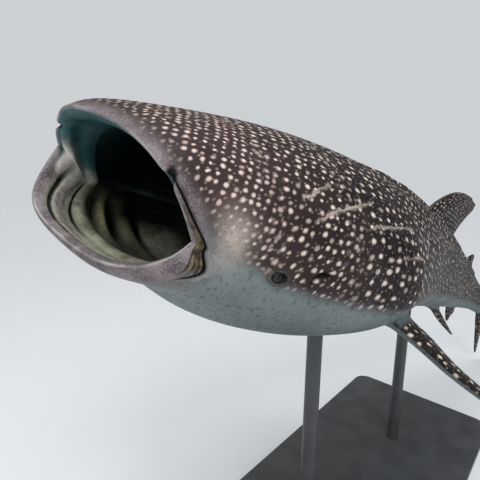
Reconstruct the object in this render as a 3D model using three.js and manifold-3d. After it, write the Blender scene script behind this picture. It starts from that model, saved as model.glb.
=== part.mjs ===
// A life-size whale shark (Rhincodon typus) as a museum model: it swims nose up and slightly banked,
// its mouth wide open to feed, on a flat base with two rods. Millimetres, +Z up, the snout towards -X.
// The animal is drawn in its own straight frame, in units of one hundredth of its total length:
// x from snout to tail, y to its right, z up. A map then bends, banks, pitches and lifts it.
import * as THREE from "three";
import { mergeVertices } from "three/addons/utils/BufferGeometryUtils.js";
import Module from "manifold-3d";

const wasm = await Module();
wasm.setup();

// Driving dimensions
const TOTAL_LENGTH = 6000; // snout to the tip of the tail
const UNIT = TOTAL_LENGTH / 100; // one hundredth of the length
const GAP = 0.35 / UNIT; // the clear gap between touching nodes
const AROUND = 48; // facets round the body
const NOSE_UP = THREE.MathUtils.degToRad(15);
const BANK = THREE.MathUtils.degToRad(12); // its left side is the lower one
const BEND_START = 22; // the trunk is straight ahead of this
const BEND_SPAN = 58; // from there to the root of the tail
const BEND_LEFT = 5.5; // how far the tail's root swings to the left
const BEND_DOWN = 4.5; // how far it hangs down
const STAND_CENTRE = 35; // the point of the body over the middle of the base
const TAIL_CLEARANCE = 60; // the lowest fin tip over the floor, in mm

// Each ring is one closed section, from the bottom of the throat out to the lips and back along the skin
// to the tail. Its top, sides and bottom may lie at different stations, so that the open mouth can slant.
// name, top x, top z, side x, side z, half width, bottom x, bottom z, upper roundness, lower roundness
const RINGS = [
  ["throat", 15.0, 2.0, 15.0, -1.2, 4.0, 15.0, -3.8, 2.2, 2.2],
  ["gullet", 12.0, 3.2, 12.0, -1.4, 6.4, 12.0, -5.0, 2.2, 2.2],
  ["hall", 8.0, 3.5, 8.4, -1.4, 7.3, 8.2, -5.1, 2.4, 2.4],
  ["cheek", 4.2, 3.1, 5.4, -1.3, 6.9, 4.6, -4.5, 2.5, 2.5],
  ["fold", 2.3, 2.6, 4.2, -1.2, 6.1, 2.7, -3.5, 2.6, 2.5],
  ["groove", 1.3, 2.5, 3.6, -1.2, 6.3, 1.6, -3.7, 2.7, 2.6],
  ["inner_lip", 0.4, 2.35, 3.0, -1.1, 5.95, 0.85, -3.2, 2.7, 2.6],
  ["lip", -0.3, 2.5, 2.5, -1.0, 6.25, 0.2, -3.3, 2.7, 2.7],
  ["outer_lip", -0.1, 3.1, 2.9, -1.1, 6.7, 0.6, -3.95, 2.8, 2.7],
  ["snout", 1.7, 3.8, 4.2, -1.4, 7.5, 3.1, -4.4, 2.5, 2.5],
  ["eyes", 5.2, 4.7, 6.4, -1.6, 8.2, 6.0, -5.8, 2.3, 2.4],
  ["brow", 9.0, 5.5, 9.4, -1.7, 9.1, 9.2, -6.6, 2.2, 2.3],
  ["nape", 13.0, 6.1, 13.2, -1.7, 10.0, 13.1, -7.0, 2.1, 2.2],
  ["gills", 18.0, 6.6, 18.0, -1.6, 10.5, 18.0, -6.8, 2.0, 2.2],
  ["shoulder", 24.0, 7.0, 24.0, -1.3, 9.8, 24.0, -6.4, 1.9, 2.1],
  ["chest", 31.0, 7.3, 31.0, -0.9, 8.5, 31.0, -6.1, 1.9, 2.1],
  ["back", 38.0, 7.2, 38.0, -0.5, 7.2, 38.0, -5.9, 1.9, 2.1],
  ["belly", 46.0, 6.8, 46.0, -0.3, 6.1, 46.0, -5.5, 2.0, 2.0],
  ["hips", 54.0, 5.9, 54.0, 0.0, 5.0, 54.0, -4.9, 2.0, 2.0],
  ["rear", 62.0, 4.8, 62.0, 0.0, 3.9, 62.0, -4.0, 2.0, 2.0],
  ["stock", 70.0, 3.6, 70.0, 0.1, 2.8, 70.0, -2.9, 2.0, 2.0],
  ["narrow", 76.0, 2.7, 76.0, 0.2, 2.1, 76.0, -2.1, 2.0, 2.0],
  ["fin_root", 81.0, 2.4, 81.0, 0.3, 1.4, 81.0, -1.8, 2.0, 2.0],
  ["stock_end", 84.0, 1.6, 84.0, 0.3, 0.7, 84.0, -1.0, 2.0, 2.0],
];
const ring = (name) => RINGS.findIndex((r) => r[0] === name);

// A smooth curve through evenly numbered values.
function spline(values, t) {
  const last = values.length - 1;
  const u = Math.min(Math.max(t, 0), last);
  const i = Math.min(Math.floor(u), last - 1);
  const f = u - i;
  const b = values[i];
  const c = values[i + 1];
  const a = i > 0 ? values[i - 1] : 2 * b - c;
  const d = i < last - 1 ? values[i + 2] : 2 * c - b;
  return 0.5 * (2 * b + (c - a) * f + (2 * a - 5 * b + 4 * c - d) * f * f + (3 * b - a - 3 * c + d) * f ** 3);
}

// The keels: long ridges from the nape to the tail, as angles from the crown of the back.
const KEELS = [
  { angle: 0, from: 20, to: 43, height: 0.22 },
  { angle: 22.5, from: 17, to: 60, height: 0.28 },
  { angle: 45, from: 18, to: 66, height: 0.32 },
  { angle: 67.5, from: 22, to: 84, height: 0.42 },
];
const STOCK_KEEL = { angle: 90, from: 62, to: 84, height: 0.75 };
const FACET = 360 / AROUND;

function keelHeight(x, degreesFromTop) {
  let height = 0;
  for (const keel of [...KEELS, STOCK_KEEL]) {
    const across = Math.max(0, 1 - Math.abs(Math.abs(degreesFromTop) - keel.angle) / FACET);
    const along = THREE.MathUtils.smoothstep(x, keel.from, keel.from + 8) *
      (1 - THREE.MathUtils.smoothstep(x, keel.to - 5, keel.to + 1));
    height += keel.height * across * along;
  }
  return height;
}

// The filter pads: folds across the walls of the throat, between the gullet and the cheek.
const PADS = 4;
const PAD_HEIGHT = 0.32;

function padHeight(t) {
  const u = (t - 0.4) / (ring("cheek") - 0.4);
  if (u <= 0 || u >= 1) return 0;
  return PAD_HEIGHT * Math.sin(Math.PI * PADS * u) ** 2;
}

// The open mouth is askew: its right corner sits higher and further forward than its left one, the lip
// above that corner is rounder and the jaw below it squarer.
const ASKEW = { ring: 7.2, reach: 1.2, up: 1.4, forward: 0.9, above: 1.2, below: 1.5 };

function askew(t, angle) {
  return Math.exp(-(((t - ASKEW.ring) / ASKEW.reach) ** 2)) * Math.max(0, Math.cos(angle));
}

// A point of the skin: t counts rings, and angle runs from the right side over the back, in radians.
function skin(t, angle, outwards = 0) {
  const sizes = [1, 2, 3, 4, 5, 6, 7, 8, 9].map((k) => spline(RINGS.map((r) => r[k]), t));
  const [xt, zt, , , w, xb, zb, nt, nb] = sizes;
  const skewed = askew(t, angle);
  const xs = sizes[2] - ASKEW.forward * skewed;
  const zs = sizes[3] + ASKEW.up * skewed;
  const over = Math.sin(angle) >= 0;
  const power = 2 / (over ? nt - ASKEW.above * skewed : nb + ASKEW.below * skewed);
  const across = Math.sign(Math.cos(angle)) * Math.abs(Math.cos(angle)) ** power;
  const up = Math.abs(Math.sin(angle)) ** power;
  const p = new THREE.Vector3(
    xs + ((over ? xt : xb) - xs) * up,
    w * across,
    zs + ((over ? zt : zb) - zs) * up,
  );
  const fromTop = THREE.MathUtils.radToDeg(Math.atan2(Math.cos(angle), Math.sin(angle)));
  const raised = t > ring("lip") ? keelHeight(p.x, fromTop) : -padHeight(t);
  const away = new THREE.Vector3(0, p.y, p.z - zs).normalize();
  return p.addScaledVector(away, raised + outwards);
}

// The map from the animal's frame to the part's frame.
function bent(p) {
  const t = Math.min(Math.max((p.x - BEND_START) / BEND_SPAN, 0), 2);
  return new THREE.Vector3(p.x, p.y - BEND_LEFT * t * t, p.z - BEND_DOWN * t * t);
}
const turn = new THREE.Matrix4()
  .makeRotationY(NOSE_UP)
  .multiply(new THREE.Matrix4().makeRotationX(BANK));
const standPoint = bent(new THREE.Vector3(STAND_CENTRE, 0, 0)).applyMatrix4(turn);
let lift = 0;

function placed(p) {
  const q = bent(p).applyMatrix4(turn);
  return new THREE.Vector3((q.x - standPoint.x) * UNIT, (q.y - standPoint.y) * UNIT, q.z * UNIT + lift);
}

// Solids. A loft joins loops of equal count. Past halfway round each loop the facets are split the other
// way, so that the two faces of a thin fin match.
function solidFrom(points, faces) {
  const make = (tris) => new wasm.Manifold(new wasm.Mesh({
    numProp: 3,
    vertProperties: new Float32Array(points.flatMap((p) => [p.x, p.y, p.z])),
    triVerts: new Uint32Array(tris.flat()),
  }));
  const made = make(faces);
  return made.volume() > 0 ? made : make(faces.map(([a, b, c]) => [a, c, b]));
}

function loft(loops, map = placed) {
  const count = loops[0].length;
  const middle = (loop) => loop.reduce((sum, p) => sum.add(p), new THREE.Vector3()).divideScalar(count);
  const points = [...loops.flat(), middle(loops[0]), middle(loops.at(-1))].map(map);
  const faces = [];
  for (let i = 0; i + 1 < loops.length; i++) {
    for (let j = 0; j < count; j++) {
      const a = i * count + j;
      const b = i * count + ((j + 1) % count);
      const c = a + count;
      const d = b + count;
      if (j < count / 2) faces.push([a, b, d], [a, d, c]);
      else faces.push([a, b, c], [b, d, c]);
    }
  }
  const start = loops.length * count;
  const end = (loops.length - 1) * count;
  for (let j = 0; j < count; j++) {
    const k = (j + 1) % count;
    faces.push([start, k, j], [start + 1, end + j, end + k]);
  }
  return solidFrom(points, faces);
}

function solidOf(geometry, map = (p) => p) {
  const bare = geometry.index ? geometry.toNonIndexed() : geometry.clone();
  bare.deleteAttribute("normal");
  bare.deleteAttribute("uv");
  const merged = mergeVertices(bare, 1e-4);
  const at = merged.attributes.position;
  const points = Array.from({ length: at.count }, (_, i) => map(new THREE.Vector3().fromBufferAttribute(at, i)));
  const index = merged.index.array;
  const faces = Array.from({ length: index.length / 3 }, (_, i) => [index[3 * i], index[3 * i + 1], index[3 * i + 2]]);
  return solidFrom(points, faces.filter(([a, b, c]) => a !== b && b !== c && a !== c));
}

function largest(solid) {
  const bodies = solid.decompose();
  return bodies.reduce((best, body) => (body.volume() > best.volume() ? body : best));
}

function skinLoop(t, outwards = 0, shift = 0) {
  return Array.from({ length: AROUND }, (_, j) => {
    const p = skin(t, (2 * Math.PI * j) / AROUND, outwards);
    p.x += shift;
    return p;
  });
}

function stations(from, to, count) {
  return Array.from({ length: count + 1 }, (_, i) => from + ((to - from) * i) / count);
}

// The lengths of the body behind the head, each with its first and last ring and its count of steps.
const LENGTHS = {
  gill_band: ["nape", "shoulder", 7],
  torso_front: ["shoulder", "back", 4],
  torso_rear: ["back", "rear", 6],
  tail_stock: ["rear", "stock_end", 8],
};
const stationsOf = ([from, to, steps]) => stations(ring(from), ring(to), steps);

// One length of the body, drawn back by the gap at its front.
function lengthOf(name) {
  return loft(stationsOf(LENGTHS[name]).map((t, i) => skinLoop(t, 0, i === 0 ? GAP : 0)));
}

// The same lengths in one, a little larger all over, to cut what grows from them or carries them.
function grownBody() {
  const all = [...new Set(Object.values(LENGTHS).flatMap(stationsOf))];
  return loft(all.map((t) => skinLoop(t, 1.5 * GAP, t === ring("stock_end") ? 1.5 * GAP : 0)));
}

// Fins: each is a row of sections, given by the leading edge, the trailing edge and the thickness.
const SECTION = [[0, 0], [0.05, 0.5], [0.2, 0.92], [0.42, 1], [0.7, 0.62], [1, 0.16]];

function fin(rows, face) {
  const loops = rows.map(([leading, trailing, thick]) => {
    const front = new THREE.Vector3(...leading);
    const chord = new THREE.Vector3(...trailing).sub(front);
    const point = ([u, h], side) => front.clone().addScaledVector(chord, u).addScaledVector(face, (side * h * thick) / 2);
    return [...SECTION.map((s) => point(s, 1)), ...SECTION.slice(1).reverse().map((s) => point(s, -1))];
  });
  return loft(loops);
}
const mirrored = (rows) => rows.map(([a, b, thick]) => [[a[0], -a[1], a[2]], [b[0], -b[1], b[2]], thick]);
const SIDEWAYS = new THREE.Vector3(0, 1, 0);

const PECTORAL = [
  [[21.0, -7.6, -3.6], [28.0, -7.0, -3.9], 1.3],
  [[22.4, -10.8, -4.7], [28.4, -10.4, -5.0], 1.15],
  [[24.2, -13.6, -6.0], [28.9, -12.6, -6.2], 0.95],
  [[26.8, -16.4, -7.2], [30.0, -15.2, -7.3], 0.75],
  [[30.0, -18.9, -8.3], [32.2, -17.9, -8.4], 0.55],
  [[33.4, -20.8, -9.2], [34.7, -20.2, -9.2], 0.4],
  [[36.6, -22.0, -9.9], [36.9, -21.8, -9.9], 0.2],
];
const PELVIC = [
  [[50.4, -2.4, -3.6], [55.4, -2.2, -3.6], 0.6],
  [[52.0, -4.3, -5.5], [56.2, -3.9, -5.4], 0.5],
  [[54.0, -5.4, -6.5], [56.5, -5.1, -6.5], 0.35],
  [[55.7, -6.0, -7.1], [56.5, -5.9, -7.1], 0.2],
];
const FIRST_DORSAL = [
  [[42.5, 0, 5.1], [54.0, 0, 4.4], 1.5],
  [[45.0, 0, 7.6], [57.0, 0, 6.4], 1.25],
  [[47.6, 0, 9.8], [58.0, 0, 8.5], 0.95],
  [[50.8, 0, 11.6], [59.2, 0, 10.4], 0.7],
  [[54.2, 0, 12.7], [60.4, 0, 11.9], 0.45],
  [[57.6, 0, 13.2], [60.6, 0, 12.9], 0.25],
];
const SECOND_DORSAL = [
  [[64.2, 0, 3.2], [69.3, 0, 2.6], 0.7],
  [[65.8, 0, 4.9], [70.4, 0, 4.2], 0.55],
  [[67.4, 0, 6.2], [69.6, 0, 5.6], 0.35],
  [[68.9, 0, 6.9], [69.7, 0, 6.7], 0.2],
];
const ANAL = [
  [[66.0, 0, -2.2], [70.4, 0, -1.9], 0.6],
  [[67.4, 0, -4.2], [71.3, 0, -3.5], 0.5],
  [[68.8, 0, -5.4], [70.5, 0, -4.9], 0.35],
  [[69.9, 0, -6.1], [70.6, 0, -5.9], 0.2],
];
const CAUDAL = [
  [[90.0, 0, -9.6], [90.5, 0, -9.7], 0.2],
  [[87.6, 0, -7.4], [89.6, 0, -8.0], 0.5],
  [[84.6, 0, -4.4], [88.2, 0, -5.2], 0.75],
  [[82.2, 0, -2.2], [87.6, 0, -2.6], 0.95],
  [[81.4, 0, 0.3], [88.0, 0, 0.2], 1.05],
  [[82.2, 0, 2.4], [89.2, 0, 2.8], 0.95],
  [[84.8, 0, 5.2], [90.9, 0, 5.6], 0.8],
  [[88.4, 0, 9.0], [93.1, 0, 9.0], 0.65],
  [[92.2, 0, 12.8], [95.7, 0, 12.6], 0.5],
  [[95.4, 0, 15.8], [97.9, 0, 15.6], 0.35],
  [[97.6, 0, 17.4], [98.2, 0, 17.2], 0.2],
];

// The face of a paired fin points up and a little forwards, across its chord and its span.
function pairedFace(rows) {
  const span = new THREE.Vector3(...rows.at(-1)[0]).sub(new THREE.Vector3(...rows[0][0]));
  const chord = new THREE.Vector3(...rows[0][1]).sub(new THREE.Vector3(...rows[0][0]));
  return span.cross(chord).normalize();
}

// How high the animal stands: its lowest point, the lower lobe of the tail, just clears the floor.
const lowest = Math.min(
  ...[PECTORAL, PELVIC, mirrored(PECTORAL), mirrored(PELVIC), CAUDAL, ANAL].flat().map(([p]) => placed(new THREE.Vector3(...p)).z),
);
lift = TAIL_CLEARANCE - lowest;

// The mouth end: throat, cavity, lips and skin back to the nape, before the jaw is parted from it.
const headEnd = loft([
  ...stations(0, ring("cheek"), 14),
  ...stations(ring("cheek") + 0.5, ring("eyes"), 11),
  ...stations(ring("eyes") + 0.5, ring("nape"), 3),
].map((t) => skinLoop(t)));

// The lower jaw is everything under a line from the corner of the mouth back to the hinge, below the eye.
const JAW_LINE = [[-4, -1.05], [2.9, -1.1], [4.4, -1.9], [7.6, -3.4], [8.8, -5.2], [9.4, -12], [-4, -12]];
const JAW_HALF_WIDTH = 14;

function jawRegion(grow) {
  const outline = new THREE.Shape(JAW_LINE.map(([x, z], i) => new THREE.Vector2(x + (i > 2 && i < 6 ? grow : 0), z + (i < 5 ? grow : 0))));
  const slab = new THREE.ExtrudeGeometry(outline, { depth: 2 * JAW_HALF_WIDTH, bevelEnabled: false });
  return solidOf(slab, (p) => placed(new THREE.Vector3(p.x, JAW_HALF_WIDTH - p.z, p.y)));
}
const lowerJaw = largest(headEnd.intersect(jawRegion(-GAP)));
let head = largest(headEnd.subtract(jawRegion(0)));

// Cutters for the small openings of the head, made as balls stretched along the animal's axes.
function ball(centre, radii, segments = 12) {
  const sphere = new THREE.SphereGeometry(1, segments, Math.round(segments * 0.66));
  return solidOf(sphere, (p) => placed(new THREE.Vector3(centre[0] + p.x * radii[0], centre[1] + p.y * radii[1], centre[2] + p.z * radii[2])));
}
const EYE = { x: 6.35, z: -1.55, radius: 0.42, sunk: 0.2 };
const SPIRACLE = { x: 8.5, z: -1.35, radii: [0.42, 0.5, 0.2] };
const NOSTRIL = { ring: 7.15, left: 150, right: 36, radii: [0.34, 0.3, 0.5] };

// The half width of the skin at a station and height on the side of the body.
function sideAt(x, z) {
  let best = { miss: Infinity, y: 0 };
  for (let t = ring("outer_lip"); t < ring("shoulder"); t += 0.05) {
    for (let a = -60; a <= 60; a += 2) {
      const p = skin(t, THREE.MathUtils.degToRad(a));
      const miss = Math.hypot(p.x - x, p.z - z);
      if (miss < best.miss) best = { miss, y: p.y };
    }
  }
  return best.y;
}
const eyeSide = sideAt(EYE.x, EYE.z) - EYE.sunk;
const eyes = [];
for (const side of [-1, 1]) {
  const centre = [EYE.x, side * eyeSide, EYE.z];
  eyes.push([side < 0 ? "eye_left" : "eye_right", ball(centre, [EYE.radius, EYE.radius, EYE.radius], 18)]);
  const socket = EYE.radius + GAP;
  head = head.subtract(ball(centre, [socket, socket, socket], 18));
  head = head.subtract(ball([SPIRACLE.x, side * sideAt(SPIRACLE.x, SPIRACLE.z), SPIRACLE.z], SPIRACLE.radii));
  const nostril = skin(NOSTRIL.ring, THREE.MathUtils.degToRad(side < 0 ? NOSTRIL.left : NOSTRIL.right));
  head = head.subtract(ball(nostril.toArray(), NOSTRIL.radii));
}
head = largest(head);

// Gill slits: five slanting cuts on each side, each of which frees the back edge of a flap.
const GILLS = [14.6, 16.1, 17.5, 18.8, 20.0];
const GILL = { top: 2.4, bottom: -3.6, shorter: 0.25, wide: 0.14, deep: 1.1, slant: 0.9, curve: 0.35 };
let gillBand = lengthOf("gill_band");
for (const side of [-1, 1]) {
  GILLS.forEach((x, i) => {
    const loops = stations(0, 1, 6).map((u) => {
      const z = GILL.top - GILL.shorter * i + (GILL.bottom - GILL.top + 2 * GILL.shorter * i) * u;
      const bow = x + GILL.curve * Math.sin(Math.PI * u);
      const y = sideAt(bow, z);
      const deep = GILL.deep * Math.sin(Math.PI * (0.08 + 0.84 * u));
      const corner = (inwards, back) => new THREE.Vector3(bow + back - (inwards * GILL.slant), side * (y - inwards), z);
      return [corner(-0.5, 0), corner(-0.5, GILL.wide), corner(deep, GILL.wide), corner(deep, 0)];
    });
    gillBand = gillBand.subtract(loft(loops));
  });
}
gillBand = largest(gillBand);

const grown = grownBody();
const onBody = (rows, face) => largest(fin(rows, face).subtract(grown));
const face = pairedFace(PECTORAL);
const faceRight = new THREE.Vector3(face.x, -face.y, face.z);
const pelvicFace = pairedFace(PELVIC);
const pelvicFaceRight = new THREE.Vector3(pelvicFace.x, -pelvicFace.y, pelvicFace.z);

// The stand: a flat plate with rounded corners and two upright rods, each cut to the belly it carries.
const BASE = { long: 3000, wide: 1300, thick: 45, corner: 120 };
const ROD = { radius: 45, sides: 20, places: [23, 47] };

function plate() {
  const outline = new THREE.Shape();
  const x = BASE.long / 2 - BASE.corner;
  const y = BASE.wide / 2 - BASE.corner;
  outline.absarc(x, y, BASE.corner, 0, Math.PI / 2);
  outline.absarc(-x, y, BASE.corner, Math.PI / 2, Math.PI);
  outline.absarc(-x, -y, BASE.corner, Math.PI, 1.5 * Math.PI);
  outline.absarc(x, -y, BASE.corner, 1.5 * Math.PI, 2 * Math.PI);
  return solidOf(new THREE.ExtrudeGeometry(outline, { depth: BASE.thick, bevelEnabled: false, curveSegments: 6 }));
}

function rod(station) {
  const foot = placed(new THREE.Vector3(station, 0, 0));
  const low = BASE.thick + GAP * UNIT;
  const tall = foot.z - low;
  const shaft = new THREE.CylinderGeometry(ROD.radius, ROD.radius, tall, ROD.sides)
    .rotateX(Math.PI / 2)
    .translate(foot.x, foot.y, low + tall / 2);
  const pieces = solidOf(shaft).subtract(grown).decompose();
  return pieces.reduce((best, piece) => (piece.boundingBox().min[2] < best.boundingBox().min[2] ? piece : best));
}

// Colours by slot, as linear-looking hex values of the finished skin, iris and stand.
const finishes = {
  skin: new THREE.MeshStandardMaterial({ color: 0x4a4650, roughness: 0.6, metalness: 0 }),
  jaw: new THREE.MeshStandardMaterial({ color: 0x8b898c, roughness: 0.6, metalness: 0 }),
  eye: new THREE.MeshStandardMaterial({ color: 0x0b0c0e, roughness: 0.12, metalness: 0 }),
  stand: new THREE.MeshStandardMaterial({ color: 0x2b2d30, roughness: 0.45, metalness: 0.6 }),
};

const whaleShark = new THREE.Group();

function add(name, solid, finish) {
  const mesh = solid.getMesh();
  const geometry = new THREE.BufferGeometry();
  geometry.setAttribute("position", new THREE.BufferAttribute(new Float32Array(mesh.vertProperties), 3));
  geometry.setIndex(new THREE.BufferAttribute(new Uint32Array(mesh.triVerts), 1));
  geometry.computeVertexNormals();
  const made = new THREE.Mesh(geometry, finishes[finish]);
  made.name = name;
  whaleShark.add(made);
}

add("head", head, "skin");
add("lower_jaw", lowerJaw, "jaw");
for (const [name, eye] of eyes) add(name, eye, "eye");
add("gill_band", gillBand, "skin");
for (const name of ["torso_front", "torso_rear", "tail_stock"]) add(name, lengthOf(name), "skin");
add("pectoral_fin_left", onBody(PECTORAL, face), "skin");
add("pectoral_fin_right", onBody(mirrored(PECTORAL), faceRight), "skin");
add("pelvic_fin_left", onBody(PELVIC, pelvicFace), "skin");
add("pelvic_fin_right", onBody(mirrored(PELVIC), pelvicFaceRight), "skin");
add("first_dorsal_fin", onBody(FIRST_DORSAL, SIDEWAYS), "skin");
add("second_dorsal_fin", onBody(SECOND_DORSAL, SIDEWAYS), "skin");
add("anal_fin", onBody(ANAL, SIDEWAYS), "skin");
const FORK = 4; // the row of the tail fin where its lobes part
const raisedRow = ([a, b, thick]) => [[a[0], a[1], a[2] + GAP], [b[0], b[1], b[2] + GAP], thick];
add("tail_fin_lower_lobe", onBody(CAUDAL.slice(0, FORK + 1), SIDEWAYS), "skin");
add("tail_fin_upper_lobe", onBody([raisedRow(CAUDAL[FORK]), ...CAUDAL.slice(FORK + 1)], SIDEWAYS), "skin");
add("stand_base", plate(), "stand");
ROD.places.forEach((station, i) => add(["stand_rod_front", "stand_rod_rear"][i], rod(station), "stand"));

export default whaleShark;
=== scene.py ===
import bpy
import math
import numpy as np
from mathutils import Vector, Matrix
from mathutils.kdtree import KDTree


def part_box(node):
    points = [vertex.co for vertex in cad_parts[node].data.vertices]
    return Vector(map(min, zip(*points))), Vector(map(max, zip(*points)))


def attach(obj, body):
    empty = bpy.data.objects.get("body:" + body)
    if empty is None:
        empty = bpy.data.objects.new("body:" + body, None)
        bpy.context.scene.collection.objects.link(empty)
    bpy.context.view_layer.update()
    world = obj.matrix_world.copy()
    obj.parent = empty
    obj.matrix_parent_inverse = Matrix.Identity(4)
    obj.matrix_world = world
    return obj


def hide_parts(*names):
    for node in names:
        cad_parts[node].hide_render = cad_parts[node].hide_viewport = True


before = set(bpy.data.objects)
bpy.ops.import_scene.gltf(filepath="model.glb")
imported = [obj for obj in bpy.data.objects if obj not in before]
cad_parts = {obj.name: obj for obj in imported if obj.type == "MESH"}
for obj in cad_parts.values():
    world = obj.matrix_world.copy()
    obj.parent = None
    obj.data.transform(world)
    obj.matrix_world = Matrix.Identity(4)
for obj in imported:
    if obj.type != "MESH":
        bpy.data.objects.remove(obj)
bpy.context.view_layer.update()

# Skin
# The hide is one thick, rough, damp skin over the whole fish, from the throat round the lips and back to the
# tail, with every fin growing out of it. Keels stiffen the back, and the mouth is folded into lips, furrows
# and filter pads. It is drawn straight, in hundredths of the fish's length, and then posed.
UNIT = 0.06
NOSE_UP = math.radians(15)
BANK = math.radians(12)
BEND = dict(start=22, span=58, left=5.5, down=4.5)
STAND_CENTRE = 35
# the middle of the left eye
EYE_AT = np.array([6.35, -8.0, -1.55])
# name, steps to the next ring, top x, z, side x, z, half width, bottom x, z, roundness above and below
RINGS = [
    ("throat", 6, 15.0, 2.0, 15.0, -1.2, 4.0, 15.0, -3.8, 2.2, 2.2),
    ("gullet", 16, 12.0, 3.2, 12.0, -1.4, 6.4, 12.0, -5.0, 2.2, 2.2),
    ("hall", 26, 8.0, 3.5, 8.4, -1.4, 7.3, 8.2, -5.1, 2.4, 2.4),
    ("cheek", 20, 4.2, 3.1, 5.4, -1.3, 6.9, 4.6, -4.5, 2.5, 2.5),
    ("fold", 16, 2.3, 2.6, 4.2, -1.2, 6.1, 2.7, -3.5, 2.6, 2.5),
    ("groove", 12, 1.3, 2.5, 3.6, -1.2, 6.3, 1.6, -3.7, 2.7, 2.6),
    ("inner_lip", 9, 0.4, 2.35, 3.0, -1.1, 6.0, 0.75, -3.22, 2.7, 2.6),
    ("lip", 10, -0.35, 2.62, 2.42, -1.0, 6.35, 0.12, -3.4, 2.7, 2.7),
    ("outer_lip", 30, 0.3, 3.2, 2.9, -1.1, 6.68, 0.68, -3.93, 2.8, 2.7),
    ("snout", 28, 1.7, 3.8, 4.2, -1.4, 7.5, 3.1, -4.4, 2.5, 2.5),
    ("eyes", 28, 5.2, 4.7, 6.4, -1.6, 8.2, 6.0, -5.8, 2.3, 2.4),
    ("brow", 22, 9.0, 5.5, 9.4, -1.7, 9.1, 9.2, -6.6, 2.2, 2.3),
    ("nape", 38, 13.0, 6.1, 13.2, -1.7, 10.0, 13.1, -7.0, 2.1, 2.2),
    ("gills", 34, 18.0, 6.6, 18.0, -1.6, 10.5, 18.0, -6.8, 2.0, 2.2),
    ("shoulder", 16, 24.0, 7.0, 24.0, -1.3, 9.8, 24.0, -6.4, 1.9, 2.1),
    ("chest", 14, 31.0, 7.3, 31.0, -0.9, 8.5, 31.0, -6.1, 1.9, 2.1),
    ("back", 14, 38.0, 7.2, 38.0, -0.5, 7.2, 38.0, -5.9, 1.9, 2.1),
    ("belly", 14, 46.0, 6.8, 46.0, -0.3, 6.1, 46.0, -5.5, 2.0, 2.0),
    ("hips", 12, 54.0, 5.9, 54.0, 0.0, 5.0, 54.0, -4.9, 2.0, 2.0),
    ("rear", 12, 62.0, 4.8, 62.0, 0.0, 3.9, 62.0, -4.0, 2.0, 2.0),
    ("stock", 10, 70.0, 3.6, 70.0, 0.1, 2.8, 70.0, -2.9, 2.0, 2.0),
    ("narrow", 8, 76.0, 2.7, 76.0, 0.2, 2.1, 76.0, -2.1, 2.0, 2.0),
    ("fin_root", 6, 81.0, 2.4, 81.0, 0.3, 1.4, 81.0, -1.8, 2.0, 2.0),
    ("stock_end", 0, 84.0, 1.6, 84.0, 0.3, 0.7, 84.0, -1.0, 2.0, 2.0),
]
RING = {row[0]: i for i, row in enumerate(RINGS)}
SHAPES = np.array([row[2:] for row in RINGS])
AROUND = 192
# the open mouth is askew: its right corner sits higher and further forward than its left one
ASKEW = dict(ring=7.2, reach=1.2, up=1.4, forward=0.9, above=1.2, below=1.5)


def smooth(value, low, high):
    """A soft step from 0 at low to 1 at high."""
    u = np.clip((value - low) / (high - low), 0, 1)
    return u * u * (3 - 2 * u)


def hump(value, centre, width):
    """A soft hump of height 1."""
    return np.exp(-((value - centre) / width) ** 2)


def curve_at(row, at):
    """What a row of sizes gives at places between its entries, on a smooth curve through them."""
    last = len(row) - 1
    u = np.clip(at, 0, last)
    i = np.minimum(u.astype(int), last - 1)
    per_place = u.shape + (1,) * (row.ndim - 1)
    f = (u - i).reshape(per_place)
    here, ahead = row[i], row[i + 1]
    before = np.where((i > 0).reshape(per_place), row[np.maximum(i - 1, 0)], 2 * here - ahead)
    beyond = np.where((i < last - 1).reshape(per_place), row[np.minimum(i + 2, last)], 2 * ahead - here)
    return 0.5 * (2 * here + (ahead - before) * f + (2 * before - 5 * here + 4 * ahead - beyond) * f * f
                  + (3 * here - before - 3 * ahead + beyond) * f ** 3)


def plain_skin(t, angle):
    """The skin without its folds, at ring t and angle round from the right side."""
    xt, zt, xs, zs, w, xb, zb, nt, nb = np.moveaxis(curve_at(SHAPES, t), -1, 0)
    skewed = hump(t, ASKEW["ring"], ASKEW["reach"]) * np.maximum(np.cos(angle), 0)
    xs = xs - ASKEW["forward"] * skewed
    zs = zs + ASKEW["up"] * skewed
    over = np.sin(angle) >= 0
    power = 2 / np.where(over, nt - ASKEW["above"] * skewed, nb + ASKEW["below"] * skewed)
    y = w * np.sign(np.cos(angle)) * np.abs(np.cos(angle)) ** power
    up = np.abs(np.sin(angle)) ** power
    return np.stack([xs + (np.where(over, xt, xb) - xs) * up, y, zs + (np.where(over, zt, zb) - zs) * up], -1)


TURN = np.array(Matrix.Rotation(NOSE_UP, 3, "Y") @ Matrix.Rotation(BANK, 3, "X"))


def swung(points):
    """The straight fish with its tail swung to the left and down."""
    q = np.array(points, dtype=float)
    t = np.clip((q[..., 0] - BEND["start"]) / BEND["span"], 0, 2) ** 2
    q[..., 1] -= BEND["left"] * t
    q[..., 2] -= BEND["down"] * t
    return q


# the station over the middle of the base, and the height that puts the eye where the solids have it
over_base = swung([STAND_CENTRE, 0, 0]) @ TURN.T * UNIT
over_base[2] = 0
STAND_POINT = over_base @ TURN / UNIT
eye_height = np.mean(np.array(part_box("eye_left")), 0)[2]
LIFT = eye_height - ((swung(EYE_AT) - STAND_POINT) @ TURN.T * UNIT)[2]


def posed(points):
    """From the straight fish in hundredths of its length to the posed one in metres."""
    return (swung(points) - STAND_POINT) @ TURN.T * UNIT + np.array([0, 0, LIFT])


rows_between = [i + np.arange(row[1]) / row[1] for i, row in enumerate(RINGS) if row[1]]
t_rows = np.concatenate(rows_between + [[len(RINGS) - 1.0]])
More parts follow.
